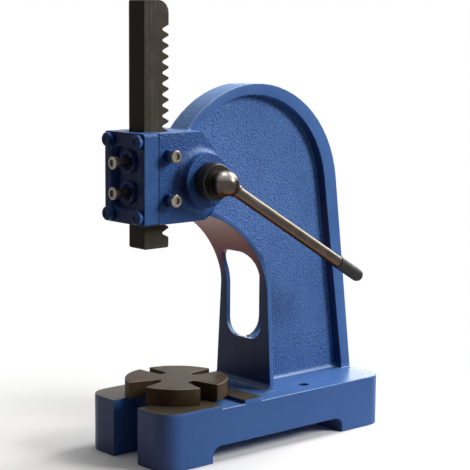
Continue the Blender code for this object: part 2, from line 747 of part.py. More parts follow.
def build_cap_screws(shop):
    """The four painted screws that hold the front cap."""
    sizes = (CAP_SCREW_RADIUS, CAP_SCREW_HEAD_RADIUS, CAP_SCREW_HEAD_HEIGHT,
             CAP_SCREW_SOCKET_RADIUS, CAP_SCREW_SOCKET_DEPTH)
    names = ("upper_far", "upper_near", "lower_far", "lower_near")
    for name, place in zip(names, cap_screw_places()):
        screw = socket_screw(shop, "cap_screw_" + name, sizes, CAP_FRONT - SEAT_GAP,
                             -PARTING_REACH + CAP_SCREW_GRIP, "y", place)
        paint(screw, DARK_BLUE_PAINT, 0.45, 0)


def build_gib_screws(shop):
    """The adjusting screws of both gibs, and the side screws' lock nuts."""
    sizes = (GIB_SCREW_RADIUS, GIB_SCREW_HEAD_RADIUS, GIB_SCREW_HEAD_HEIGHT,
             GIB_SCREW_SOCKET_RADIUS, GIB_SCREW_SOCKET_DEPTH)
    for name, place in zip(("upper", "lower"), front_screw_places()):
        screw = socket_screw(shop, "front_gib_screw_" + name, sizes, FRONT_SCREW_HEAD_START,
                             FRONT_GIB_FRONT - SEAT_GAP, "y", place)
        paint(screw, BRIGHT_STEEL, 0.3, 1)
    start = HALF_HEAD + SEAT_GAP
    end = start + LOCK_NUT_HEIGHT
    outline = circle((0, 0), LOCK_NUT_ACROSS_FLATS / math.sqrt(3), 6)
    for name, place in zip(("upper", "lower"), side_screw_places()):
        screw = socket_screw(shop, "side_gib_screw_" + name, sizes, HALF_HEAD + SIDE_SCREW_SETOUT,
                             SIDE_GIB_END + SEAT_GAP, "x", place)
        paint(screw, BRIGHT_STEEL, 0.3, 1)
        nut = prism(shop, "side_lock_nut_" + name, outline, start, end, "x")
        nut.location += Vector(place)
        bevel(nut, LOCK_NUT_CHAMFER)
        cut(nut, rod(shop, "lock_nut_bore", GIB_SCREW_RADIUS + SEAT_GAP, start - OVERRUN,
                     end + OVERRUN, "x", place, cutter=True, steps=SMALL_ROUND_STEPS))
        paint(nut, DARK_BLUE_PAINT, 0.4, 0)


# Front cap and gibs

def build_front_cap(shop):
    """The cap that closes the ram's channel, with its pocket and two screw bosses."""
    half = HALF_HEAD
    outline = rounded_rectangle((-half, HEAD_BOTTOM), (half, HEAD_TOP), CAP_CORNER_RADIUS)
    cap = prism(shop, "front_cap", outline, CAP_FRONT, CAP_BACK, "y")
    pocket = CAP_POCKET_WIDTH / 2
    floor = CAP_FRONT + CAP_POCKET_DEPTH
    outline = rounded_rectangle((-pocket, HEAD_BOTTOM + CAP_POCKET_END),
                                (pocket, HEAD_TOP - CAP_POCKET_END), CAP_POCKET_CORNER_RADIUS)
    cut(cap, prism(shop, "cap_pocket", outline, CAP_FRONT - OVERRUN, floor, "y", cutter=True))
    for place in front_screw_places():
        join(cap, rod(shop, "cap_boss", CAP_BOSS_RADIUS, floor - CAP_BOSS_HEIGHT,
                      floor + OVERRUN, "y", place, cutter=True))
        cut(cap, rod(shop, "cap_boss_bore", CAP_BOSS_BORE_RADIUS,
                     floor - CAP_BOSS_HEIGHT - OVERRUN,
                     floor - CAP_BOSS_HEIGHT + CAP_BOSS_BORE_DEPTH, "y", place, cutter=True,
                     steps=SMALL_ROUND_STEPS))
    groove = RAM_WIDTH / 2 + SEAT_GAP
    cut(cap, block(shop, "gib_groove",
                   (-groove, FRONT_GIB_FRONT - SEAT_GAP, HEAD_BOTTOM - OVERRUN),
                   (groove, CAP_BACK + OVERRUN, HEAD_TOP + OVERRUN), cutter=True))
    for place in front_screw_places():
        cut(cap, rod(shop, "cap_gib_screw_hole", GIB_SCREW_RADIUS + SEAT_GAP,
                     CAP_FRONT - OVERRUN, FRONT_GIB_FRONT, "y", place, cutter=True,
                     steps=SMALL_ROUND_STEPS))
    for place in cap_screw_places():
        cut(cap, rod(shop, "cap_hole", CAP_SCREW_RADIUS + SEAT_GAP, CAP_FRONT - OVERRUN,
                     CAP_BACK + OVERRUN, "y", place, cutter=True, steps=SMALL_ROUND_STEPS))
    paint(cap, DARK_BLUE_PAINT, 0.45, 0)


def build_gibs(shop):
    """The two wear strips that guide the ram."""
    low = HEAD_BOTTOM + GIB_END_SETBACK
    high = HEAD_TOP - GIB_END_SETBACK
    half = RAM_WIDTH / 2
    front = block(shop, "front_gib", (-half, FRONT_GIB_FRONT, low), (half, FRONT_GIB_BACK, high))
    paint(front, BRIGHT_STEEL, 0.35, 1)
    side = block(shop, "side_gib", (SIDE_GIB_START, -PARTING_REACH + SEAT_GAP, low),
                 (SIDE_GIB_END, RACK_TIP - ADDENDUM - DEDENDUM, high))
    paint(side, BRIGHT_STEEL, 0.35, 1)


# Ram and pinion

def ram_outline():
    """The ram from the side, measured from its middle line and lower end, rack at the back."""
    front = -RAM_DEPTH / 2
    tip = RAM_DEPTH / 2
    pitch_line = tip - ADDENDUM
    root = pitch_line - DEDENDUM
    slope = math.tan(PRESSURE_ANGLE)
    half_tip = HALF_TOOTH - ADDENDUM * slope
    half_root = HALF_TOOTH + DEDENDUM * slope
    mesh_height = PINION_HEIGHT - RAM_REST_HEIGHT
    points = [(front + RAM_CHAMFER, 0), (tip - RAM_CHAMFER, 0), (tip, RAM_CHAMFER)]
    first = math.ceil((RACK_BOTTOM_MARGIN - mesh_height) / PITCH)
    last = math.floor((RAM_LENGTH - RACK_TOP_MARGIN - mesh_height) / PITCH)
    for index in range(first, last):
        gap = mesh_height + index * PITCH
        lower_tooth = gap - PITCH / 2
        upper_tooth = gap + PITCH / 2
        points += [(tip, lower_tooth + half_tip), (root, lower_tooth + half_root),
                   (root, upper_tooth - half_root), (tip, upper_tooth - half_tip)]
    points += arc((tip - RAM_TOP_RADIUS, RAM_LENGTH - RAM_TOP_RADIUS), RAM_TOP_RADIUS,
                  0, math.pi / 2, QUARTER_STEPS)
    return points + [(front + RAM_CHAMFER, RAM_LENGTH), (front, RAM_LENGTH - RAM_CHAMFER),
                     (front, RAM_CHAMFER)]


def build_ram(shop):
    """The square ram with its rack."""
    mesh = prism_mesh("ram", ram_outline(), RAM_WIDTH, "x")
    ram = shop.add("ram", mesh)
    ram.location = (0, RAM_MIDDLE, RAM_REST_HEIGHT)
    paint(ram, RAM_STEEL, 0.4, 1)


def tooth_half_angle(radius):
    """Half the angle that one pinion tooth takes up at a radius."""
    base = PITCH_RADIUS * math.cos(PRESSURE_ANGLE)
    angle = math.acos(min(1, base / radius))
    grown = math.tan(PRESSURE_ANGLE) - PRESSURE_ANGLE
    here = math.tan(angle) - angle
    return HALF_TOOTH / PITCH_RADIUS + grown - here


def gear_outline():
    """The pinion's teeth round its axis, with one tooth's middle pointing to the rack."""
    base = PITCH_RADIUS * math.cos(PRESSURE_ANGLE)
    outer = PITCH_RADIUS + ADDENDUM
    root = PITCH_RADIUS - DEDENDUM
    radii = [base + (outer - base) * step / FLANK_STEPS for step in range(FLANK_STEPS + 1)]
    points = []
    for tooth in range(PINION_TEETH):
        middle = math.pi + math.tau * tooth / PINION_TEETH
        rising = [(radius, middle - tooth_half_angle(radius)) for radius in radii]
        falling = [(radius, middle + tooth_half_angle(radius)) for radius in reversed(radii)]
        foot = tooth_half_angle(base)
        corners = [(root, middle - foot)] + rising + falling + [(root, middle + foot)]
        points += [(r * math.cos(angle), r * math.sin(angle)) for r, angle in corners]
    return points


def build_pinion(shop):
    """The gear and its shaft, cut from one piece of steel."""
    start = -HALF_HEAD - FLANGE_THICKNESS - SEAT_GAP
    end = COLLAR_END + COLLAR_RING_HEIGHT
    edge = FLANGE_EDGE
    profile = [(0, end + SPIGOT_LENGTH), (SPIGOT_RADIUS, end + SPIGOT_LENGTH),
               (SPIGOT_RADIUS, end), (SHAFT_RADIUS, end), (SHAFT_RADIUS, start + edge),
               (SHAFT_RADIUS - edge, start), (0, start)]
    pinion = turned(shop, "pinion", profile, "x", (0, 0, 0), shop.pinion_axis)
    half = PINION_WIDTH / 2
    join(pinion, prism(shop, "pinion_teeth", gear_outline(), -half, half, "x",
                       shop.pinion_axis, cutter=True))
    paint(pinion, RAM_STEEL, 0.4, 1)


def build_bearing_flange(shop):
    """The flange that carries the shaft on the far side and closes the pinion's cavity."""
    inner = -CAVITY_HALF_WIDTH
    seat = -HALF_HEAD - SEAT_GAP
    outer = seat - FLANGE_THICKNESS + SEAT_GAP
    spigot = CAVITY_RADIUS - SEAT_GAP
    place = (0, PINION_BACK, PINION_HEIGHT)
    profile = [(0, inner), (spigot, inner), (spigot, seat), (FLANGE_RADIUS, seat),
               (FLANGE_RADIUS, outer + FLANGE_EDGE), (FLANGE_RADIUS - FLANGE_EDGE, outer),
               (0, outer)]
    flange = turned(shop, "bearing_flange", profile, "x", place)
    cut(flange, rod(shop, "flange_bore", SHAFT_BORE_RADIUS, outer - OVERRUN, inner + OVERRUN,
                    "x", place, cutter=True))
    names = ("upper", "front", "lower")
    sizes = (FLANGE_SCREW_RADIUS, FLANGE_SCREW_HEAD_RADIUS, FLANGE_SCREW_HEAD_HEIGHT,
             FLANGE_SCREW_HEAD_RADIUS / 2, FLANGE_SCREW_HEAD_HEIGHT / 2)
    for name, spot in zip(names, flange_screw_places()):
        cut(flange, rod(shop, "flange_hole", FLANGE_SCREW_RADIUS + SEAT_GAP, outer - OVERRUN,
                        seat + OVERRUN, "x", spot, cutter=True, steps=SMALL_ROUND_STEPS))
        screw = socket_screw(shop, "flange_screw_" + name, sizes, outer - SEAT_GAP,
                             outer + FLANGE_SCREW_LENGTH - FLANGE_SCREW_HEAD_HEIGHT, "x", spot)
        paint(screw, BLACK_FINISH, 0.45, 1)
    ram_side = RACK_TIP + SEAT_GAP
    far_wall = -RAM_WIDTH / 2 - SEAT_GAP
    cut(flange, block(shop, "flange_ram_relief", (far_wall, -PARTING_REACH, HEAD_BOTTOM),
                      (0, ram_side, HEAD_TOP), cutter=True))
    paint(flange, BLACK_FINISH, 0.5, 1)


# Hub, lever and grip, built round the pinion's axis

def build_hub(shop):
    """The black collar, its grub screw and the ball that takes the lever."""
    collar_profile = [
        (0, COLLAR_END + COLLAR_RING_HEIGHT),
        (COLLAR_RING_RADIUS, COLLAR_END + COLLAR_RING_HEIGHT),
        (COLLAR_RING_RADIUS, COLLAR_END),
        (COLLAR_RADIUS - COLLAR_EDGE, COLLAR_END),
        (COLLAR_RADIUS, COLLAR_END - COLLAR_EDGE),
        (COLLAR_RADIUS, COLLAR_START + COLLAR_EDGE),
        (COLLAR_RADIUS - COLLAR_EDGE, COLLAR_START),
        (0, COLLAR_START),
    ]
    axis = shop.pinion_axis
    centre = (0, 0, 0)
    collar = turned(shop, "hub_collar", collar_profile, "x", centre, axis)
    cut(collar, rod(shop, "collar_bore", SHAFT_RADIUS + SEAT_GAP, COLLAR_START - OVERRUN,
                    COLLAR_END + COLLAR_RING_HEIGHT + OVERRUN, "x", centre, parent=axis,
                    cutter=True))
    middle = ((COLLAR_START + COLLAR_END) / 2, 0, 0)
    outer = -COLLAR_RADIUS + GRUB_SCREW_SINK
    cut(collar, rod(shop, "grub_screw_hole", GRUB_SCREW_RADIUS + SEAT_GAP,
                    -COLLAR_RADIUS - OVERRUN, -SHAFT_RADIUS, "z", middle, parent=axis,
                    cutter=True, steps=SMALL_ROUND_STEPS))
    paint(collar, BLACK_FINISH, 0.4, 0)
    grub = rod(shop, "hub_grub_screw", GRUB_SCREW_RADIUS, outer, outer + GRUB_SCREW_LENGTH, "z",
               middle, parent=axis, steps=SMALL_ROUND_STEPS)
    paint(grub, BLACK_FINISH, 0.4, 1)
    ball = build_hub_ball(shop)
    paint(ball, BRIGHT_STEEL, 0.2, 1)


def build_hub_ball(shop):
    """The ball on the end of the shaft, flat against the collar, with the lever's socket."""
    axis = shop.pinion_axis
    flat = math.acos(HUB_BALL_SETOUT / HUB_BALL_RADIUS)
    steps = ROUND_STEPS // 3
    profile = []
    for step in range(steps + 1):
        angle = (math.pi - flat) * step / steps
        profile.append((HUB_BALL_RADIUS * math.sin(angle), HUB_BALL_RADIUS * math.cos(angle)))
    profile[0] = (0, HUB_BALL_RADIUS)
    profile.append((0, profile[-1][1]))
    ball = turned(shop, "hub_ball", profile, "x", (LEVER_PLANE, 0, 0), axis)
    shaft_end = COLLAR_END + COLLAR_RING_HEIGHT + SPIGOT_LENGTH
    cut(ball, rod(shop, "ball_bore", SPIGOT_RADIUS + SEAT_GAP, HUB_BALL_START - OVERRUN,
                  shaft_end + SEAT_GAP, "x", (0, 0, 0), parent=axis, cutter=True,
                  steps=SMALL_ROUND_STEPS))
    socket = rod(shop, "lever_socket", LEVER_RADIUS + SEAT_GAP, LEVER_SOCKET_START - SEAT_GAP,
                 HUB_BALL_RADIUS + OVERRUN, "lever", (LEVER_PLANE, 0, 0), parent=axis,
                 cutter=True, steps=SMALL_ROUND_STEPS)
    cut(ball, socket)
    return ball


def build_lever(shop):
    """The bright rod with its ring at the ball, and the black grip on its end."""
    axis = shop.pinion_axis
    place = (LEVER_PLANE, 0, 0)
    ring_start = HUB_BALL_RADIUS + SEAT_GAP
    ring_end = ring_start + LEVER_RING_LENGTH
    grip_start = LEVER_REACH - GRIP_LENGTH
    spigot_end = LEVER_REACH - GRIP_WALL
    profile = [(0, spigot_end), (GRIP_SPIGOT_RADIUS, spigot_end),
               (GRIP_SPIGOT_RADIUS, grip_start), (LEVER_RADIUS, grip_start),
               (LEVER_RADIUS, ring_end), (LEVER_RING_RADIUS, ring_end),
               (LEVER_RING_RADIUS, ring_start), (LEVER_RADIUS, ring_start),
               (LEVER_RADIUS, LEVER_SOCKET_START), (0, LEVER_SOCKET_START)]
    lever = turned(shop, "lever_rod", profile, "lever", place, axis, steps=SMALL_ROUND_STEPS)
    paint(lever, BRIGHT_STEEL, 0.2, 1)
    start = grip_start + SEAT_GAP
    dome = arc((0, LEVER_REACH - GRIP_RADIUS), GRIP_RADIUS, math.pi / 2, 0, QUARTER_STEPS)
    bore = GRIP_SPIGOT_RADIUS + SEAT_GAP
    profile = [(0, LEVER_REACH)] + dome[1:] + [
        (GRIP_RADIUS, start), (bore, start), (bore, spigot_end + SEAT_GAP),
        (0, spigot_end + SEAT_GAP)]
    grip = turned(shop, "lever_grip", profile, "lever", place, axis, steps=SMALL_ROUND_STEPS)
    paint(grip, RUBBER, 0.6, 0)


# Anvil plate and pivot

def plate_outline():
    """The plate from above: four slots of unlike mouths, the widest under the ram."""
    points = []
    quarter = math.pi / 2
    count = len(PLATE_SLOT_MOUTHS)
    end_centre = PLATE_SLOT_TIP + PLATE_SLOT_END_RADIUS
    for index, mouth in enumerate(PLATE_SLOT_MOUTHS):
        following = PLATE_SLOT_MOUTHS[(index + 1) % count]
        middle = -quarter + quarter * index
        half = math.asin(mouth / 2 / PLATE_RADIUS)
        next_half = math.asin(following / 2 / PLATE_RADIUS)
        end = (end_centre * math.cos(middle), end_centre * math.sin(middle))
        points += arc(end, PLATE_SLOT_END_RADIUS, middle - quarter, middle - 3 * quarter,
                      2 * QUARTER_STEPS)
        points += arc((0, 0), PLATE_RADIUS, middle + half, middle + quarter - next_half,
                      RIM_STEPS)
    return points


def build_plate(shop):
    """The turning anvil plate, and the pin it turns on."""
    plate = prism(shop, "anvil_plate", plate_outline(), PLATE_BOTTOM, PLATE_TOP, "z")
    bevel(plate, PLATE_EDGE)
    cut(plate, rod(shop, "plate_bore", PIVOT_RADIUS + RUNNING_GAP, PLATE_BOTTOM - OVERRUN,
                   LAND_TOP + PIVOT_IN_PLATE + SEAT_GAP, "z", (0, 0, 0), cutter=True,
                   steps=SMALL_ROUND_STEPS))
    paint(plate, PLATE_STEEL, 0.45, 1)
    pin = rod(shop, "plate_pivot_pin", PIVOT_RADIUS, LAND_TOP - PIVOT_IN_BASE,
              LAND_TOP + PIVOT_IN_PLATE, "z", (0, 0, 0), steps=SMALL_ROUND_STEPS)
    bevel(pin, PIVOT_EDGE)
    paint(pin, BRIGHT_STEEL, 0.3, 1)


def shade_round_pieces(shop):
    """Shade everything smooth except across its edges."""
    for obj in shop.parts.objects:
        if obj.type == "MESH" and obj.data.polygons:
            obj.data.shade_smooth()
            obj.data.set_sharp_from_angle(angle=EDGE_ANGLE)


def main():
    clear_scene()
    shop = Workshop()
    build_frame(shop)
    build_front_cap(shop)
    build_cap_screws(shop)
    build_gibs(shop)
    build_gib_screws(shop)
    build_ram(shop)
    build_pinion(shop)
    build_bearing_flange(shop)
    build_hub(shop)
    build_lever(shop)
    build_plate(shop)
    shade_round_pieces(shop)


main()
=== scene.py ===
"""Looks of the bench arbor press: camera, studio light, floor and procedural materials.

Metres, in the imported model's own frame: +Z up, the lever side faces +X, the operator's side -Y.
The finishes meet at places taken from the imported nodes' boxes, or at the named ones below.
"""

import math

import bpy
import bmesh
from mathutils import Matrix, Vector


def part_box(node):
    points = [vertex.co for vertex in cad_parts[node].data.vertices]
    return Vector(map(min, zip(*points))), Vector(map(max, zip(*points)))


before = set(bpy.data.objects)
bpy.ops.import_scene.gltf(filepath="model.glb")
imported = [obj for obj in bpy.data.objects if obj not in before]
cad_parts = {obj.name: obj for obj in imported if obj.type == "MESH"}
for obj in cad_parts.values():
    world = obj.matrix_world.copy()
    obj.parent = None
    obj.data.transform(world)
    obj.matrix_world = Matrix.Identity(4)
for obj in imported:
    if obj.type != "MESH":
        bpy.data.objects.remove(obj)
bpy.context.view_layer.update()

# Camera, fitted to the photograph
CAMERA_PLACE = Vector((1.23768, -1.11244, 0.46812))
CAMERA_YAW = math.radians(48.3)
CAMERA_PITCH = math.radians(8.3)
CAMERA_ROLL = math.radians(0.44)
CAMERA_LENS = 118.8
SENSOR_WIDTH = 36.0
CAMERA_REACH = 20.0

# Studio
FLOOR_RADIUS = 4.0
FLOOR_STEPS = 96
FLOOR_COLOUR = (0.86, 0.86, 0.86, 1)
FLOOR_ROUGHNESS = 0.9
FLOOR_SPECULAR = 0.1
FLOOR_FADE = (0.14, 0.46)
WHITE = (1, 1, 1, 1)
AMBIENT = 0.06

# Name, place, target, size, power in watts, colour
LAMPS = (
    ("key", (1.25, 0.85, 1.00), (0, 0.06, 0.24), (0.6, 0.6), 26, (1.0, 0.98, 0.95)),
    ("top", (0.15, 1.10, 1.50), (0, 0.05, 0.2), (0.6, 0.6), 18, (1.0, 0.99, 0.97)),
    ("over", (-0.10, -0.10, 1.50), (0, 0.05, 0.38), (0.5, 0.5), 5, (1.0, 0.99, 0.97)),
    ("front", (-0.35, -1.1, 0.06), (0, 0, 0.20), (0.4, 0.10), 0.6, (1.0, 0.42, 0.18)),
    ("back", (-1.0, 1.3, 0.42), (0, 0.05, 0.15), (0.7, 0.4), 6, (1.0, 1.0, 1.0)),
    ("strip", (-0.05, 1.45, 0.80), (0.05, 0.1, 0.27), (0.5, 0.7), 9, (1.0, 0.99, 0.96)),
)

# Edge breaks on the CAD nodes
CAST_NODES = ("frame_casting", "front_cap")
WELDED_NODES = CAST_NODES + ("anvil_plate",)
CAST_WELD = 0.0002
FINE_WELD = 0.000005
EDGE_ANGLE = math.radians(42)
FLAT_ANGLE = math.radians(0.4)
SMOOTH_ANGLE = math.radians(36)
EDGE_SEGMENTS = 2
CAST_EDGE = 0.0010
CAP_EDGE = 0.0008
SMALL_EDGE = 0.0003
PLATE_EDGE = 0.0005
RAM_EDGE = 0.0005

# The casting's paint, by region
PAINT_COLOUR = (0.040, 0.112, 0.320, 1)
PAINT_LIGHT = (0.060, 0.150, 0.390, 1)
# Painted shade for the pebbles' pits; painted glints for their tops and along the column's foot
PAINT_PIT_SHADE = (0.014, 0.038, 0.125, 1)
PAINT_GLINT = (0.240, 0.340, 0.560, 1)
# A painted highlight on broken edges and along the crown's rim
PAINT_EDGE_HIGHLIGHT = (0.300, 0.440, 0.700, 1)
# Painted sheen on the crown's top
CROWN_HIGHLIGHT = (0.150, 0.300, 0.640, 1)
# Painted light on the column's web; painted shade on the head and on the foot
WEB_PAINTED_LIGHT_DEEP = (0.066, 0.168, 0.450, 1)
WEB_PAINTED_LIGHT_PALE = (0.094, 0.218, 0.540, 1)
HEAD_SHADE = (0.012, 0.068, 0.260, 1)
BASE_SHADE = (0.026, 0.076, 0.232, 1)
# Painted sheen on the foot's ledge
LEDGE_SHEEN = (0.080, 0.180, 0.450, 1)
# Painted shade on the faces that look to the operator, on the column and on the foot
COLUMN_FRONT_SHADE = (0.010, 0.014, 0.048, 1)
FOOT_FRONT_SHADE = (0.038, 0.026, 0.050, 1)
# A painted reflection of warm light under the head
THROAT_REFLECTION = (0.270, 0.045, 0.004, 1)
LAND_COLOUR = (0.040, 0.031, 0.021, 1)
LAND_LIGHT = (0.078, 0.062, 0.043, 1)
PAINT_SPECULAR = 0.16
PAINT_ROUGHNESS = (0.30, 0.42)

# Shares of those colours where they cover the paint in full
HEAD_SHARE = 0.75
BASE_SHARE = 0.75
WEB_SHARES = (0.45, 1)
LEDGE_SHARE = 0.7
CROWN_SHARE = 0.85
FRONT_SHARES = (0.80, 0.55)
EDGE_SHARES = (0.85, 0.25)
FOOT_GLINT_SHARE = 0.7
PIT_SHARES = (0.05, 0.35)
TOP_SHARE = 0.55
THROAT_SHARE = 0.9

# Where they meet: distances from the middle plane of the column
WEB_SIDE = (0.0062, 0.0070)
COLUMN_SIDE = (0.0155, 0.0180)
# Where the painted highlight along the crown's rim lies
RIM_HIGHLIGHT_INNER = (0.0120, 0.0142)
RIM_HIGHLIGHT_OUTER = (0.0150, 0.0152)

# Heights over the bench
WEB_TONE_HEIGHTS = (0.06, 0.34)
THROAT_HEIGHTS = (0.15, 0.22)
HEAD_FOOT_HEIGHTS = (0.20, 0.21)
CROWN_HEIGHTS = (0.338, 0.345)

# Heights over the machined land, and the land's gap to the plate
LAND_GAP = 0.0003
LAND_BAND = (-0.0007, 0.0006)
WEB_FOOT_BAND = (-0.003, 0.003)
BASE_BAND = (-0.004, 0)
LEDGE_BAND = (0.010, 0.012)
FOOT_GLINT_RISE_BAND = (-0.0040, -0.0030)
FOOT_GLINT_FALL_BAND = (-0.0008, 0.0012)

# Distances behind the hub collar and the plate, and above the cap's lower edge
HEAD_BACK_BAND = (0.002, 0.016)
FOOT_GLINT_BEHIND_PLATE = 0.004
THROAT_OVER_CAP = 0.001

# Where a face looks: ranges of one coordinate of its normal, and for the land a limit
SIDE_FACE = (0.5, 0.8)
LEDGE_FACE = (0.7, 0.95)
CROWN_FACE = (0.30, 0.75)
FRONT_FACE = (-0.85, -0.35)
FRONT_SLOPE = (0.1, 0.4)
EDGE_TURN_SIDE = (0.20, 0.45)
EDGE_SIDE = (0.85, 0.97)
EDGE_TURN_UP = (0.15, 0.40)
THROAT_FACE = (-0.5, -0.1)
LAND_FACE = 0.3
DARK_FRONT_FACE = (-0.9, -0.45)

# The paint's relief: noise as scale, detail and roughness, depths in metres
PEBBLE_CELLS = 470
PEBBLE_NOISE = (560, 2)
PEBBLE_NOISE_SHARE = 0.8
PEBBLE_DEPTH = 0.0016
PEBBLE_STRENGTHS = (0.08, 1.0)
HEAD_PEBBLE_SHARE = 0.35
PIT_HEIGHTS = (0.62, 1.05)
TOP_HEIGHTS = (0.60, 0.42)
WAVE_NOISE = (60, 3)
WAVE_DEPTH = 0.0008
WAVE_STRENGTH = 0.35
# Noise for the painted highlight's specks along the column's foot
FOOT_GLINT_NOISE = (380, 2)
FOOT_GLINT_BREAKS = (0.45, 0.6)
CLOUD_NOISE = (14, 4, 0.6)
CLOUD_RANGE = (0.35, 0.7)
GLOSS_NOISE = (300, 2)
NOISE_RANGE = (0.3, 0.7)
LAND_MARKS = (1, 3, 0.6)
LAND_RANGE = (0.35, 0.7)
LAND_STRETCH = (900, 30, 30)

# The cap's paint
CAP_COLOUR = (0.038, 0.105, 0.300, 1)
CAP_LIGHT = (0.052, 0.135, 0.360, 1)
# Painted shade on the cap's faces that look to the front
CAP_FRONT_SHADE = (0.004, 0.024, 0.125, 1)
CAP_SPECULAR = 0.08
CAP_ROUGHNESS = (0.28, 0.40)
CAP_CELLS = 420
CAP_NOISE = (420, 2)
CAP_DEPTH = 0.0010
CAP_STRENGTH = 0.3
CAP_CLOUD_NOISE = (40, 4)
CAP_GLOSS_NOISE = (250, 2)

# Metals
RAM_COLOUR = (0.054, 0.048, 0.038, 1)
RAM_LIGHT = (0.115, 0.104, 0.086, 1)
# Painted shade on the ram's faces that look to the front
RAM_FRONT_SHADE = (0.020, 0.018, 0.015, 1)
IRON_COLOUR = (0.048, 0.033, 0.019, 1)
IRON_LIGHT = (0.100, 0.070, 0.040, 1)
# A painted highlight on the plate's edges
IRON_EDGE_HIGHLIGHT = (0.330, 0.290, 0.240, 1)
STEEL_COLOUR = (0.056, 0.048, 0.041, 1)
STEEL_LIGHT = (0.110, 0.096, 0.083, 1)
# Painted reflections: light on faces that look up, brown on faces that look down
STEEL_UPPER_REFLECTION = (0.320, 0.295, 0.260, 1)
STEEL_UNDER_REFLECTION = (0.150, 0.072, 0.042, 1)
SCREW_COLOUR = (0.15, 0.130, 0.110, 1)
SCREW_LIGHT = (0.36, 0.33, 0.29, 1)
DULL_EDGE_TINT = (0.34, 0.31, 0.27, 1)
METAL_MARKS = (1, 4, 0.6)
METAL_STRENGTH = 0.4
STAIN_NOISE = (45, 4, 0.6)
STAIN_RANGE = (0.35, 0.75)
UPPER_FACE = (0.22, 0.66)
UNDER_FACE = (-0.70, -0.42)
METAL_EDGE_TURN = (0.2, 0.4)
METAL_EDGE_TOP = (0.85, 0.97)
METALS = {
    "dark_ram_steel": dict(
        colours=(RAM_COLOUR, RAM_LIGHT), roughness=(0.42, 0.58), stretch=(700, 700, 12),
        metallic=0, depth=0.00012, specular=0.08, edge_tint=DULL_EDGE_TINT,
        front_shade=RAM_FRONT_SHADE),
    "ground_iron": dict(
        colours=(IRON_COLOUR, IRON_LIGHT), roughness=(0.50, 0.65), stretch=(60, 900, 60),
        metallic=0, depth=0.00012, specular=0.14, edge_tint=DULL_EDGE_TINT,
        edge_highlight=IRON_EDGE_HIGHLIGHT),
    "polished_steel": dict(
        colours=(STEEL_COLOUR, STEEL_LIGHT), roughness=(0.26, 0.38), stretch=(500, 60, 60),
        metallic=1, depth=0.00002, specular=0.5, edge_tint=DULL_EDGE_TINT,
        tones=(STEEL_UPPER_REFLECTION, STEEL_UNDER_REFLECTION)),
    "screw_steel": dict(
        colours=(SCREW_COLOUR, SCREW_LIGHT), roughness=(0.26, 0.40), stretch=(400, 400, 400),
        metallic=1, depth=0.00004, specular=0.5, edge_tint=WHITE),
}

# Dull black stuff
OXIDE_COLOUR = (0.004, 0.004, 0.004, 1)
OXIDE_LIGHT = (0.016, 0.014, 0.013, 1)
FLANGE_COLOUR = (0.018, 0.017, 0.016, 1)
FLANGE_LIGHT = (0.048, 0.045, 0.041, 1)
GRIP_COLOUR = (0.010, 0.010, 0.010, 1)
GRIP_LIGHT = (0.028, 0.027, 0.026, 1)
BLACK_SPECULAR = 0.2
BLACK_STRENGTH = 0.4
BLACK_GRAIN = (3, 0.6)
BLACK_RANGE = (0.4, 0.75)
BLACKS = {
    "black_oxide": dict(
        colours=(OXIDE_COLOUR, OXIDE_LIGHT), roughness=(0.32, 0.45), scale=600, depth=0.0001),
    "flange_oxide": dict(
        colours=(FLANGE_COLOUR, FLANGE_LIGHT), roughness=(0.35, 0.5), scale=300, depth=0.0002),
    "black_grip": dict(
        colours=(GRIP_COLOUR, GRIP_LIGHT), roughness=(0.4, 0.55), scale=900, depth=0.0001),
}

# Start of a node's name, material and edge width; the first that fits is used
FINISHES = (
    ("frame_casting", "blue_pebbled_paint", CAST_EDGE),
    ("front_cap", "cap_blue_paint", CAP_EDGE),
    ("cap_screw", "cap_blue_paint", SMALL_EDGE),
    ("side_lock_nut", "cap_blue_paint", SMALL_EDGE),
    ("ram", "dark_ram_steel", RAM_EDGE),
    ("pinion", "dark_ram_steel", None),
    ("anvil_plate", "ground_iron", PLATE_EDGE),
    ("bearing_flange", "flange_oxide", PLATE_EDGE),
    ("flange_screw", "black_oxide", None),
    ("hub_collar", "black_oxide", SMALL_EDGE),
    ("hub_grub_screw", "black_oxide", None),
    ("lever_grip", "black_grip", None),
    ("front_gib_screw", "screw_steel", SMALL_EDGE),
    ("side_gib_screw", "screw_steel", SMALL_EDGE),
    ("", "polished_steel", None),
)


# Camera and studio

def add_camera():
    """The camera that took the photograph."""
    yaw, pitch, roll = CAMERA_YAW, CAMERA_PITCH, CAMERA_ROLL
    forward = Vector((-math.sin(yaw) * math.cos(pitch),
                      math.cos(yaw) * math.cos(pitch), -math.sin(pitch)))
    right = Vector((math.cos(yaw), math.sin(yaw), 0))
    up = right.cross(forward)
    side = right * math.cos(roll) + up * math.sin(roll)
    top = up * math.cos(roll) - right * math.sin(roll)
    data = bpy.data.cameras.new("photo_camera")
    data.lens = CAMERA_LENS
    data.sensor_width = SENSOR_WIDTH
    data.clip_end = CAMERA_REACH
    camera = bpy.data.objects.new("photo_camera", data)
    bpy.context.scene.collection.objects.link(camera)
    matrix = Matrix([list(row) for row in zip(side, top, -forward)]).to_4x4()
    matrix.translation = CAMERA_PLACE
    camera.matrix_world = matrix
    bpy.context.scene.camera = camera


def add_lamp(name, place, target, size, power, colour):
    """A soft rectangular lamp that points at a place."""
    data = bpy.data.lights.new(name, "AREA")
    data.shape = "RECTANGLE"
    data.size, data.size_y = size
    data.energy = power
    data.color = colour
    lamp = bpy.data.objects.new(name, data)
    lamp.location = place
    way = Vector(target) - Vector(place)
    lamp.rotation_euler = way.to_track_quat("-Z", "Y").to_euler()
    bpy.context.scene.collection.objects.link(lamp)


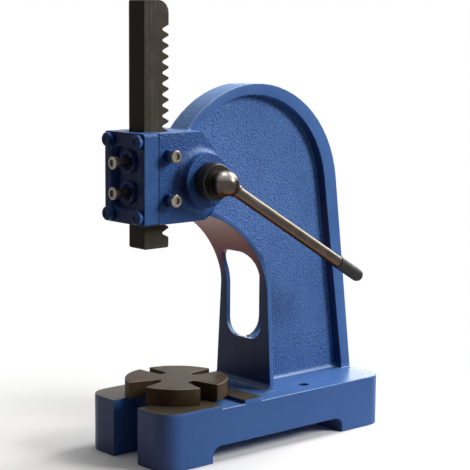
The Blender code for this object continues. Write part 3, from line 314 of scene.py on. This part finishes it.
def add_seen_ray(tree):
    """One for rays that show the background: camera, glossy and transmission rays."""
    path = tree.nodes.new("ShaderNodeLightPath")
    total = path.outputs["Is Camera Ray"]
    for output in ("Is Glossy Ray", "Is Transmission Ray"):
        highest = tree.nodes.new("ShaderNodeMath")
        highest.operation = "MAXIMUM"
        tree.links.new(total, highest.inputs[0])
        tree.links.new(path.outputs[output], highest.inputs[1])
        total = highest.outputs[0]
    return total


def add_world():
    """White to the camera and in reflections, and a dim even light to everything else."""
    world = bpy.data.worlds.new("studio")
    bpy.context.scene.world = world
    world.use_nodes = True
    tree = world.node_tree
    background = tree.nodes["Background"]
    background.inputs["Color"].default_value = WHITE
    strength = tree.nodes.new("ShaderNodeMapRange")
    strength.inputs["To Min"].default_value = AMBIENT
    strength.inputs["To Max"].default_value = 1
    tree.links.new(add_seen_ray(tree), strength.inputs["Value"])
    tree.links.new(strength.outputs["Result"], background.inputs["Strength"])
    bpy.context.scene.view_settings.view_transform = "Standard"


def floor_material():
    """A pale floor that keeps the shadow near the press and fades to white away from it."""
    material = bpy.data.materials.new("floor")
    material.use_nodes = True
    tree = material.node_tree
    shader = tree.nodes["Principled BSDF"]
    shader.inputs["Base Color"].default_value = FLOOR_COLOUR
    shader.inputs["Roughness"].default_value = FLOOR_ROUGHNESS
    shader.inputs["Specular IOR Level"].default_value = FLOOR_SPECULAR
    place = tree.nodes.new("ShaderNodeTexCoord")
    length = tree.nodes.new("ShaderNodeVectorMath")
    length.operation = "LENGTH"
    tree.links.new(place.outputs["Object"], length.inputs[0])
    fade = tree.nodes.new("ShaderNodeMapRange")
    fade.interpolation_type = "SMOOTHSTEP"
    fade.inputs["From Min"].default_value, fade.inputs["From Max"].default_value = FLOOR_FADE
    tree.links.new(length.outputs["Value"], fade.inputs["Value"])
    glow = tree.nodes.new("ShaderNodeEmission")
    glow.inputs["Color"].default_value = WHITE
    tree.links.new(add_seen_ray(tree), glow.inputs["Strength"])
    mix = tree.nodes.new("ShaderNodeMixShader")
    tree.links.new(fade.outputs["Result"], mix.inputs[0])
    tree.links.new(shader.outputs[0], mix.inputs[1])
    tree.links.new(glow.outputs[0], mix.inputs[2])
    tree.links.new(mix.outputs[0], tree.nodes["Material Output"].inputs["Surface"])
    return material


def add_floor():
    """A wide round floor under the press."""
    body = bmesh.new()
    bmesh.ops.create_circle(body, cap_ends=True, segments=FLOOR_STEPS, radius=FLOOR_RADIUS)
    mesh = bpy.data.meshes.new("floor")
    body.to_mesh(mesh)
    body.free()
    floor = bpy.data.objects.new("floor", mesh)
    bpy.context.scene.collection.objects.link(floor)
    mesh.materials.append(floor_material())


# Material building blocks

class Surface:
    """A Principled material and short calls for the nodes that feed it."""

    def __init__(self, name, specular, metallic=0):
        self.material = bpy.data.materials.new(name)
        self.material.use_nodes = True
        self.tree = self.material.node_tree
        self.shader = self.tree.nodes["Principled BSDF"]
        self.shader.inputs["Metallic"].default_value = metallic
        self.shader.inputs["Specular IOR Level"].default_value = specular
        self.place = self.tree.nodes.new("ShaderNodeTexCoord").outputs["Object"]
        self.normal = self.tree.nodes.new("ShaderNodeNewGeometry").outputs["Normal"]

    def link(self, source, target):
        self.tree.links.new(source, target)

    def part(self, vector, axis):
        """One coordinate of a vector."""
        node = self.tree.nodes.new("ShaderNodeSeparateXYZ")
        self.link(vector, node.inputs[0])
        return node.outputs[axis]

    def stretch(self, scale):
        """The object's coordinates, scaled along each axis."""
        mapping = self.tree.nodes.new("ShaderNodeMapping")
        mapping.inputs["Scale"].default_value = scale
        self.link(self.place, mapping.inputs["Vector"])
        return mapping.outputs["Vector"]

    def noise(self, scale, detail, roughness=0.5, vector=None):
        node = self.tree.nodes.new("ShaderNodeTexNoise")
        node.inputs["Scale"].default_value = scale
        node.inputs["Detail"].default_value = detail
        node.inputs["Roughness"].default_value = roughness
        self.link(vector or self.place, node.inputs["Vector"])
        return node.outputs["Fac"]

    def cells(self, scale):
        node = self.tree.nodes.new("ShaderNodeTexVoronoi")
        node.feature = "SMOOTH_F1"
        node.inputs["Scale"].default_value = scale
        node.inputs["Smoothness"].default_value = 1
        self.link(self.place, node.inputs["Vector"])
        return node.outputs["Distance"]

    def spread(self, value, ends, new_ends=(0, 1)):
        """Map a value's range onto another one, held at its ends."""
        node = self.tree.nodes.new("ShaderNodeMapRange")
        for socket, number in zip(("From Min", "From Max", "To Min", "To Max"),
                                  (*ends, *new_ends)):
            node.inputs[socket].default_value = number
        self.link(value, node.inputs["Value"])
        return node.outputs["Result"]

    def fade(self, value, ends, share=1):
        """Fall from a share to zero over a value's range."""
        return self.spread(value, ends, (share, 0))

    def compute(self, operation, first, second=0):
        """A Math node on two sockets or numbers."""
        node = self.tree.nodes.new("ShaderNodeMath")
        node.operation = operation
        for socket, value in zip(node.inputs, (first, second)):
            if isinstance(value, (int, float)):
                socket.default_value = value
            else:
                self.link(value, socket)
        return node.outputs[0]

    def product(self, total, *others):
        """All the values multiplied."""
        for other in others:
            total = self.compute("MULTIPLY", total, other)
        return total

    def mix(self, share, first, second):
        """Mix two colours, each a socket or a plain colour."""
        node = self.tree.nodes.new("ShaderNodeMix")
        node.data_type = "RGBA"
        self.link(share, node.inputs["Factor"])
        for socket, value in ((node.inputs[6], first), (node.inputs[7], second)):
            if isinstance(value, tuple):
                socket.default_value = value
            else:
                self.link(value, socket)
        return node.outputs[2]

    def bump(self, height, depth, strength, under=None):
        """Bump from a height in units of its depth in metres."""
        node = self.tree.nodes.new("ShaderNodeBump")
        node.inputs["Distance"].default_value = depth
        if isinstance(strength, (int, float)):
            node.inputs["Strength"].default_value = strength
        else:
            self.link(strength, node.inputs["Strength"])
        self.link(height, node.inputs["Height"])
        if under:
            self.link(under, node.inputs["Normal"])
        return node.outputs["Normal"]

    def finish(self, colour, roughness, normal):
        self.link(colour, self.shader.inputs["Base Color"])
        self.link(roughness, self.shader.inputs["Roughness"])
        self.link(normal, self.shader.inputs["Normal"])
        return self.material


def over(level, band):
    """A band of distances, moved up by a level."""
    return tuple(level + end for end in band)


# The casting

class CastingPaint(Surface):
    """Blue pebbled paint, coarser on the column's web, with bare machined lands on the foot."""

    def __init__(self, name):
        super().__init__(name, PAINT_SPECULAR)
        middle = (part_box("ram")[0][0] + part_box("ram")[1][0]) / 2
        self.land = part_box("anvil_plate")[0][2] - LAND_GAP
        self.back = self.part(self.place, "Y")
        self.height = self.part(self.place, "Z")
        self.off_middle = self.compute(
            "ABSOLUTE", self.compute("SUBTRACT", self.part(self.place, "X"), middle))
        self.sideways = self.compute("ABSOLUTE", self.part(self.normal, "X"))
        self.upward = self.part(self.normal, "Z")
        self.on_head = self.head_share()
        self.on_web = self.product(
            self.spread(self.off_middle, WEB_SIDE, (1, 0)),
            self.spread(self.height, over(self.land, WEB_FOOT_BAND)),
            self.spread(self.sideways, SIDE_FACE))
        self.on_base = self.fade(self.height, over(self.land, BASE_BAND), BASE_SHARE)
        self.rough_cast = self.compute(
            "MAXIMUM", self.on_web, self.product(self.on_head, HEAD_PEBBLE_SHARE))
        self.pebbles = self.compute(
            "ADD", self.cells(PEBBLE_CELLS),
            self.product(self.noise(*PEBBLE_NOISE), PEBBLE_NOISE_SHARE))

    def head_share(self):
        """One on the head, but not on the sides of the column behind it."""
        behind = over(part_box("hub_collar")[1][1], HEAD_BACK_BAND)
        off_column = self.compute("MAXIMUM", self.spread(self.off_middle, COLUMN_SIDE),
                                  self.fade(self.sideways, SIDE_FACE))
        return self.product(self.fade(self.back, behind),
                            self.spread(self.height, HEAD_FOOT_HEIGHTS), off_column)

    def relief(self):
        """Pebbles over slow waves."""
        waves = self.bump(self.noise(*WAVE_NOISE), WAVE_DEPTH, WAVE_STRENGTH)
        strength = self.spread(self.rough_cast, (0, 1), PEBBLE_STRENGTHS)
        return self.bump(self.pebbles, PEBBLE_DEPTH, strength, waves)

    def regions(self):
        """Tones at random, painted shade on the head and the foot, painted light on the web."""
        cloud = self.spread(self.noise(*CLOUD_NOISE), CLOUD_RANGE)
        colour = self.mix(cloud, PAINT_COLOUR, PAINT_LIGHT)
        colour = self.mix(self.on_base, colour, BASE_SHADE)
        colour = self.mix(self.product(self.on_head, HEAD_SHARE), colour, HEAD_SHADE)
        # Painted light on the web, lighter towards its top
        web = self.product(self.on_web, self.spread(self.height, WEB_TONE_HEIGHTS, WEB_SHARES))
        return self.mix(web, colour, self.mix(cloud, WEB_PAINTED_LIGHT_DEEP, WEB_PAINTED_LIGHT_PALE))

    def painted_top_light(self, colour):
        """Painted sheen on the foot's ledge and the crown, a painted highlight on its edges."""
        ledge = self.product(self.spread(self.upward, LEDGE_FACE),
                             self.fade(self.height, over(self.land, LEDGE_BAND), LEDGE_SHARE))
        colour = self.mix(ledge, colour, LEDGE_SHEEN)
        crown = self.product(self.spread(self.upward, CROWN_FACE),
                             self.spread(self.height, CROWN_HEIGHTS, (0, CROWN_SHARE)))
        colour = self.mix(crown, colour, CROWN_HIGHLIGHT)
        line = self.product(crown, self.spread(self.off_middle, RIM_HIGHLIGHT_INNER),
                            self.fade(self.off_middle, RIM_HIGHLIGHT_OUTER))
        return self.mix(line, colour, PAINT_EDGE_HIGHLIGHT)

    def painted_shade_on_fronts(self, colour):
        """Painted shade on the faces that look to the operator."""
        front = self.product(self.fade(self.part(self.normal, "Y"), FRONT_FACE),
                             self.spread(self.on_base, (0, BASE_SHARE), FRONT_SHARES),
                             self.fade(self.upward, FRONT_SLOPE))
        return self.mix(front, colour, self.mix(self.on_base, COLUMN_FRONT_SHADE, FOOT_FRONT_SHADE))

    def painted_highlight_on_edges(self, colour):
        """A painted highlight on the broken edges between a side and a top."""
        edge = self.product(self.spread(self.sideways, EDGE_TURN_SIDE),
                            self.fade(self.sideways, EDGE_SIDE),
                            self.spread(self.upward, EDGE_TURN_UP),
                            self.spread(self.on_head, (0, 1), EDGE_SHARES))
        return self.mix(edge, colour, PAINT_EDGE_HIGHLIGHT)

    def seam(self, colour):
        """A painted highlight: light specks along the column's foot."""
        behind = self.compute("GREATER_THAN", self.back,
                              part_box("anvil_plate")[1][1] + FOOT_GLINT_BEHIND_PLATE)
        share = self.product(self.spread(self.height, over(self.land, FOOT_GLINT_RISE_BAND)),
                             self.fade(self.height, over(self.land, FOOT_GLINT_FALL_BAND)),
                             self.spread(self.noise(*FOOT_GLINT_NOISE), FOOT_GLINT_BREAKS),
                             behind, FOOT_GLINT_SHARE)
        return self.mix(share, colour, PAINT_GLINT)

    def pebble_shade_and_glints(self, colour):
        """Painted shade in the pits and painted glints on the tops of coarse pebbles."""
        pits = self.product(self.spread(self.pebbles, PIT_HEIGHTS),
                            self.spread(self.rough_cast, (0, 1), PIT_SHARES))
        colour = self.mix(pits, colour, PAINT_PIT_SHADE)
        tops = self.product(self.spread(self.pebbles, TOP_HEIGHTS), self.rough_cast, TOP_SHARE)
        return self.mix(tops, colour, PAINT_GLINT)

    def throat(self, colour):
        """A brown painted reflection under the head, round the top of the throat."""
        under = self.compute("LESS_THAN", self.height,
                             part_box("front_cap")[0][2] + THROAT_OVER_CAP)
        share = self.product(self.fade(self.upward, THROAT_FACE),
                             self.spread(self.height, THROAT_HEIGHTS), under, THROAT_SHARE)
        return self.mix(share, colour, THROAT_REFLECTION)

    def lands(self, colour):
        """Bare iron on the machined faces that the plate stands on."""
        low, high = over(self.land, LAND_BAND)
        share = self.product(self.compute("GREATER_THAN", self.height, low),
                             self.compute("LESS_THAN", self.height, high),
                             self.compute("GREATER_THAN", self.upward, LAND_FACE))
        marks = self.noise(*LAND_MARKS, self.stretch(LAND_STRETCH))
        iron = self.mix(self.spread(marks, LAND_RANGE), LAND_COLOUR, LAND_LIGHT)
        return self.mix(share, colour, iron)


def casting_paint(name):
    paint = CastingPaint(name)
    colour = paint.regions()
    for layer in (paint.painted_top_light, paint.painted_shade_on_fronts, paint.painted_highlight_on_edges, paint.seam,
                  paint.pebble_shade_and_glints, paint.throat, paint.lands):
        colour = layer(colour)
    roughness = paint.spread(paint.noise(*GLOSS_NOISE), NOISE_RANGE, PAINT_ROUGHNESS)
    return paint.finish(colour, roughness, paint.relief())


# The other finishes

def cap_paint(name):
    """The same paint in a smoother coat, with painted shade in front."""
    surface = Surface(name, CAP_SPECULAR)
    front = surface.fade(surface.part(surface.normal, "Y"), DARK_FRONT_FACE)
    cloud = surface.spread(surface.noise(*CAP_CLOUD_NOISE), CLOUD_RANGE)
    colour = surface.mix(front, surface.mix(cloud, CAP_COLOUR, CAP_LIGHT), CAP_FRONT_SHADE)
    roughness = surface.spread(surface.noise(*CAP_GLOSS_NOISE), NOISE_RANGE, CAP_ROUGHNESS)
    grain = surface.compute("ADD", surface.cells(CAP_CELLS), surface.noise(*CAP_NOISE))
    return surface.finish(colour, roughness, surface.bump(grain, CAP_DEPTH, CAP_STRENGTH))


def drawn_metal(name, colours, roughness, stretch, metallic, depth, specular, edge_tint,
                tones=None, front_shade=None, edge_highlight=None):
    """Metal with fine marks drawn out along one axis, and painted light by where a face looks."""
    surface = Surface(name, specular, metallic)
    surface.shader.inputs["Specular Tint"].default_value = edge_tint
    marks = surface.noise(*METAL_MARKS, surface.stretch(stretch))
    stain = surface.spread(surface.noise(*STAIN_NOISE), STAIN_RANGE)
    share = surface.product(surface.spread(marks, NOISE_RANGE), stain)
    colour = surface.mix(share, *colours)
    upward = surface.part(surface.normal, "Z")
    # Painted shade on the faces that look to the front
    if front_shade:
        front = surface.fade(surface.part(surface.normal, "Y"), DARK_FRONT_FACE)
        colour = surface.mix(front, colour, front_shade)
    # A painted highlight on edges that turn towards the top
    if edge_highlight:
        edge = surface.product(surface.spread(upward, METAL_EDGE_TURN),
                               surface.fade(upward, METAL_EDGE_TOP))
        colour = surface.mix(edge, colour, edge_highlight)
    # Painted reflections, light above and brown below
    if tones:
        upper, under = tones
        colour = surface.mix(surface.spread(upward, UPPER_FACE), colour, upper)
        colour = surface.mix(surface.fade(upward, UNDER_FACE), colour, under)
    level = surface.spread(marks, NOISE_RANGE, roughness)
    return surface.finish(colour, level, surface.bump(marks, depth, METAL_STRENGTH))


def black_stuff(name, colours, roughness, scale, depth):
    """Dull black stuff with a fine grain."""
    surface = Surface(name, BLACK_SPECULAR)
    grain = surface.noise(scale, *BLACK_GRAIN)
    colour = surface.mix(surface.spread(grain, BLACK_RANGE), *colours)
    level = surface.spread(grain, NOISE_RANGE, roughness)
    return surface.finish(colour, level, surface.bump(grain, depth, BLACK_STRENGTH))


def make_materials():
    """Every finish by its name."""
    materials = {"blue_pebbled_paint": casting_paint("blue_pebbled_paint"),
                 "cap_blue_paint": cap_paint("cap_blue_paint")}
    for name, values in METALS.items():
        materials[name] = drawn_metal(name, **values)
    for name, values in BLACKS.items():
        materials[name] = black_stuff(name, **values)
    return materials


# Edges and assignment

def smooth_shading():
    """A node group that shades a mesh smooth but for its sharp edges."""
    tree = bpy.data.node_groups.new("smooth_shading", "GeometryNodeTree")
    tree.interface.new_socket("Geometry", in_out="INPUT", socket_type="NodeSocketGeometry")
    tree.interface.new_socket("Geometry", in_out="OUTPUT", socket_type="NodeSocketGeometry")
    start = tree.nodes.new("NodeGroupInput")
    plain = tree.nodes.new("GeometryNodeRemoveAttribute")
    plain.inputs["Name"].default_value = "custom_normal"
    faces = tree.nodes.new("GeometryNodeSetShadeSmooth")
    edges = tree.nodes.new("GeometryNodeSetShadeSmooth")
    edges.domain = "EDGE"
    angle = tree.nodes.new("GeometryNodeInputMeshEdgeAngle")
    gentle = tree.nodes.new("FunctionNodeCompare")
    gentle.operation = "LESS_THAN"
    gentle.inputs["B"].default_value = SMOOTH_ANGLE
    end = tree.nodes.new("NodeGroupOutput")
    tree.links.new(start.outputs["Geometry"], plain.inputs["Geometry"])
    tree.links.new(plain.outputs["Geometry"], faces.inputs["Geometry"])
    tree.links.new(faces.outputs["Geometry"], edges.inputs["Geometry"])
    tree.links.new(angle.outputs["Unsigned Angle"], gentle.inputs["A"])
    tree.links.new(gentle.outputs["Result"], edges.inputs["Shade Smooth"])
    tree.links.new(edges.outputs["Geometry"], end.inputs["Geometry"])
    return tree


def soften(node_name, width, shading):
    """Weld a node's triangles, break its edges and shade it, by modifiers alone."""
    node = bpy.data.objects[node_name]
    weld = node.modifiers.new("weld", "WELD")
    weld.merge_threshold = CAST_WELD if node_name in WELDED_NODES else FINE_WELD
    if width:
        flats = node.modifiers.new("flats", "DECIMATE")
        flats.decimate_type = "DISSOLVE"
        flats.angle_limit = FLAT_ANGLE
        faces = node.modifiers.new("faces", "TRIANGULATE")
        faces.ngon_method = "BEAUTY"
        edges = node.modifiers.new("edges", "BEVEL")
        edges.width = width
        edges.segments = EDGE_SEGMENTS
        edges.limit_method = "ANGLE"
        edges.angle_limit = EDGE_ANGLE
        edges.use_clamp_overlap = node_name not in CAST_NODES
        edges.loop_slide = False
    shade = node.modifiers.new("shading", "NODES")
    shade.node_group = shading
    normals = node.modifiers.new("normals", "WEIGHTED_NORMAL")
    normals.keep_sharp = True


def cover(node_name, material):
    """Give every slot of a node one material."""
    for slot in bpy.data.objects[node_name].material_slots:
        slot.link = "OBJECT"
        slot.material = material


def dress():
    """Materials and edges for every node."""
    shading = smooth_shading()
    materials = make_materials()
    for node_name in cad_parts:
        material, width = next((material, width) for start, material, width in FINISHES
                               if node_name.startswith(start))
        cover(node_name, materials[material])
        soften(node_name, width, shading)


def main():
    add_camera()
    add_world()
    for lamp in LAMPS:
        add_lamp(*lamp)
    add_floor()
    dress()


main()
